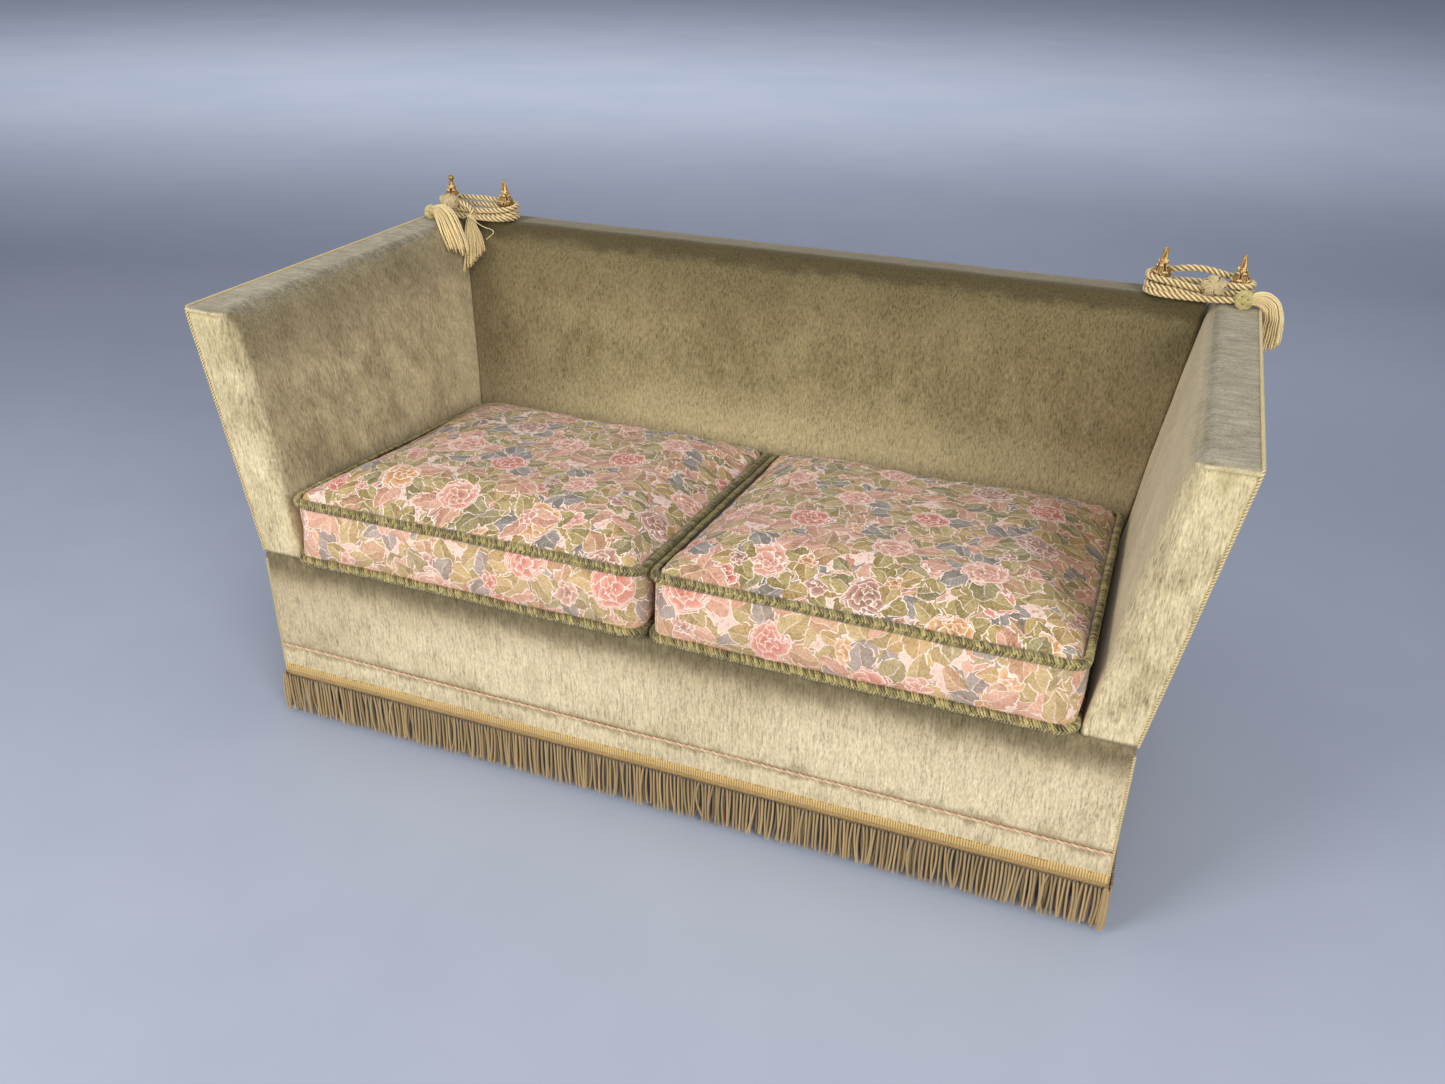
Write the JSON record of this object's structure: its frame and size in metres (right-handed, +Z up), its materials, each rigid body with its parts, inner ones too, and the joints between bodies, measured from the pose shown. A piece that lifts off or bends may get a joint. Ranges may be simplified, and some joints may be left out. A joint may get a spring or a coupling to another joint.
{
  "type": "knole sofa",
  "caption": "High-sided knole sofa with drop-down arms tied to the back by tasselled ropes at gilt finials, loose box cushions and a fringed base.",
  "frame": {"origin": "middle of the footprint, on the floor", "axes": "+X to the right seen from the front, +Y towards the back, +Z up"},
  "size_m": [1.7469, 0.8524, 0.896],
  "materials": {
    "velvet": "short-pile velvet, sage to sand beige",
    "frame_wood": "sawn hardwood",
    "foot_wood": "turned, dark stain",
    "glide_steel": "domed glide",
    "steel": "drawn wire and screws",
    "hinge_brass": "pressed brass hinge",
    "hessian": "jute weave",
    "lining": "black cambric",
    "padding": "foam and wadding",
    "platform_cloth": "plain platform cloth",
    "tapestry": "woven tapestry with roses and leaves",
    "ruche_cord": "looped cord",
    "piping_cord": "thin twisted cord",
    "fringe_heading": "woven gimp",
    "bullion_fringe": "twisted bullion",
    "gilt": "gilt, worn",
    "tie_rope": "three-strand rope, satin",
    "tassel": "twisted threads"
  },
  "bodies": {
    "root": {"front_rail": "frame_wood", "rear_rail": "frame_wood", "side_rails": "frame_wood", "centre_rail": "frame_wood", "corner_blocks": "frame_wood", "feet": "foot_wood", "foot_glides": "glide_steel", "frame_screws": "steel", "seat_springs": "steel", "spring_clips": "steel", "deck_hessian": "hessian", "deck_pad": "padding", "deck_cover": "platform_cloth", "front_apron_cover": "velvet", "front_band_cover": "velvet", "flange_cord": "piping_cord", "side_cover_left": "velvet", "side_cover_right": "velvet", "outside_back_cover": "velvet", "dust_cover": "lining", "base_corner_piping": "piping_cord", "fringe_heading": "fringe_heading", "fringe_front": "bullion_fringe", "fringe_rear": "bullion_fringe", "fringe_left": "bullion_fringe", "fringe_right": "bullion_fringe", "back_frame": "frame_wood", "back_webbing": "hessian", "back_pad": "padding", "back_cover": "velvet", "back_finials": "gilt", "hinge_fixed_leaves": "hinge_brass", "hinge_pins": "steel", "tie_coil_left": "tie_rope", "tie_coil_right": "tie_rope", "tie_tail_left": "tie_rope", "tie_tail_right": "tie_rope", "tie_knot_left": "tie_rope", "tie_knot_right": "tie_rope", "tassel_left_inner": "tassel"},
    "arm_left": {"arm_left_frame": "frame_wood", "arm_left_pad": "padding", "arm_left_cover": "velvet", "arm_left_piping": "piping_cord", "arm_left_finial": "gilt", "arm_left_hinge_leaves": "hinge_brass", "tassel_left_outer": "tassel"},
    "arm_right": {"arm_right_frame": "frame_wood", "arm_right_pad": "padding", "arm_right_cover": "velvet", "arm_right_piping": "piping_cord", "arm_right_finial": "gilt", "arm_right_hinge_leaves": "hinge_brass", "tassel_right": "tassel"},
    "cushion_left": {"cushion_left_core": "padding", "cushion_left_cover": "tapestry", "cushion_left_ruches": "ruche_cord"},
    "cushion_right": {"cushion_right_core": "padding", "cushion_right_cover": "tapestry", "cushion_right_ruches": "ruche_cord"}
  },
  "joints": [
    {"name": "arm_right_drop", "type": "hinge", "parent": "root", "child": "arm_right", "pos_m": [0.769, 0, 0.354], "axis": [0, 1, 0], "range_deg": [0, 80], "deforming": ["tie_coil_right", "tie_tail_right", "tie_knot_right"]},
    {"name": "arm_left_drop", "type": "hinge", "parent": "root", "child": "arm_left", "pos_m": [-0.769, 0, 0.354], "axis": [0, -1, 0], "range_deg": [0, 80], "deforming": ["tie_coil_left", "tie_tail_left", "tie_knot_left"]},
    {"name": "cushion_left_lift", "type": "slide", "parent": "root", "child": "cushion_left", "axis": [0, 0, 1], "range_m": [0, 0.25]},
    {"name": "cushion_right_lift", "type": "slide", "parent": "root", "child": "cushion_right", "axis": [0, 0, 1], "range_m": [0, 0.25]}
  ]
}
